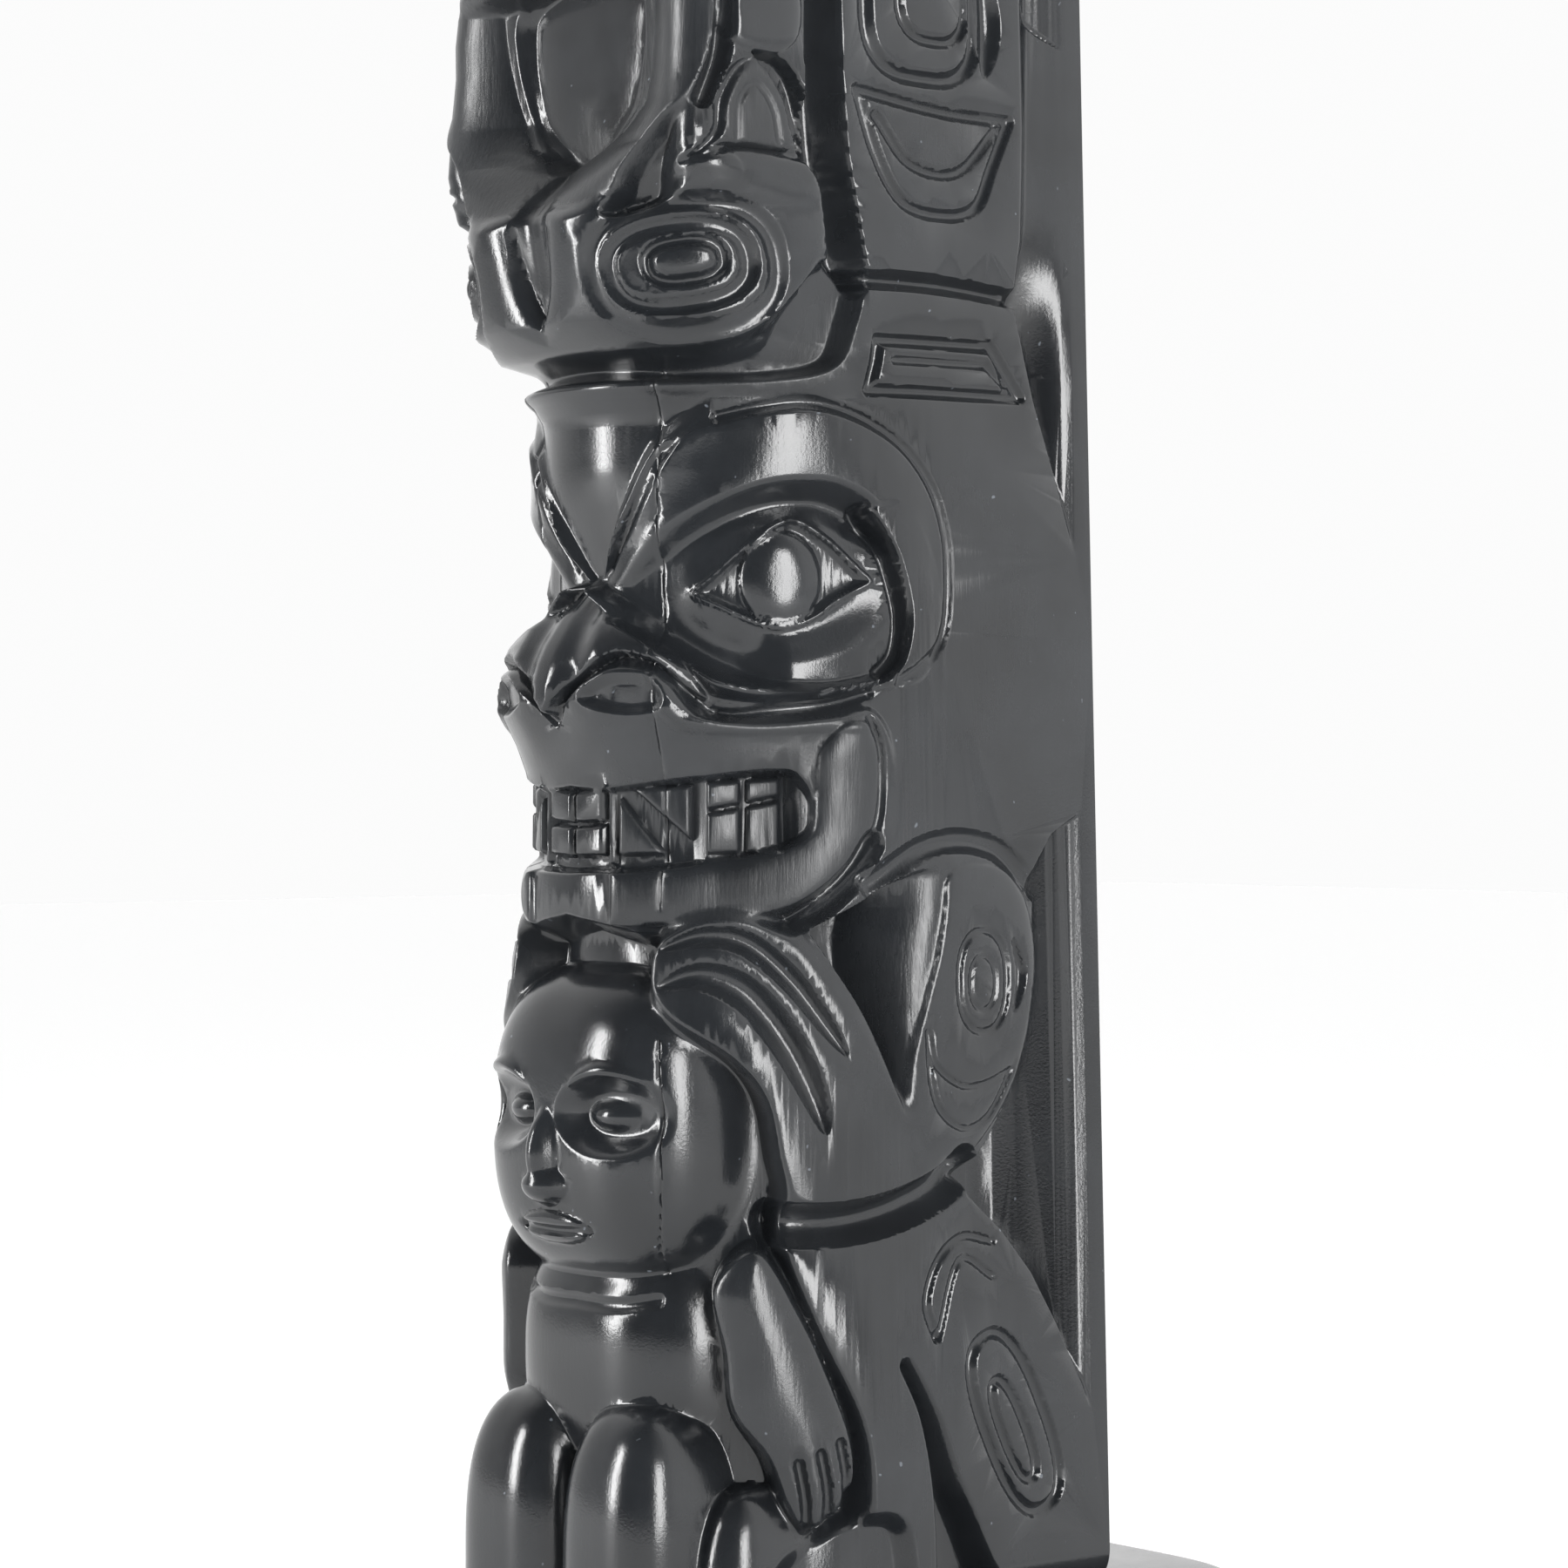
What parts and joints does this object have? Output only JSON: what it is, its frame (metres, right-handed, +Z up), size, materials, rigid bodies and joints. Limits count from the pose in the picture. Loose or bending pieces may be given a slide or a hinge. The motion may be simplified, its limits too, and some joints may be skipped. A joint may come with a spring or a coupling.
{
  "type": "totem pole carving",
  "caption": "Carved black argillite model totem pole: fluked upper figure, wide-mouthed bear and a small crouching figure in its paws, on a low polished plinth.",
  "frame": {"origin": "centre of the plinth's underside, on the surface the work stands on", "axes": "+Z up the pole, the carved front faces -Y, +X to the viewer's right when facing the front"},
  "size_m": [0.074, 0.082, 0.2583],
  "materials": {
    "argillite": "satin",
    "plinth_stone": "polished"
  },
  "bodies": {
    "root": {"pole": "argillite", "plinth": "plinth_stone"}
  },
  "joints": []
}
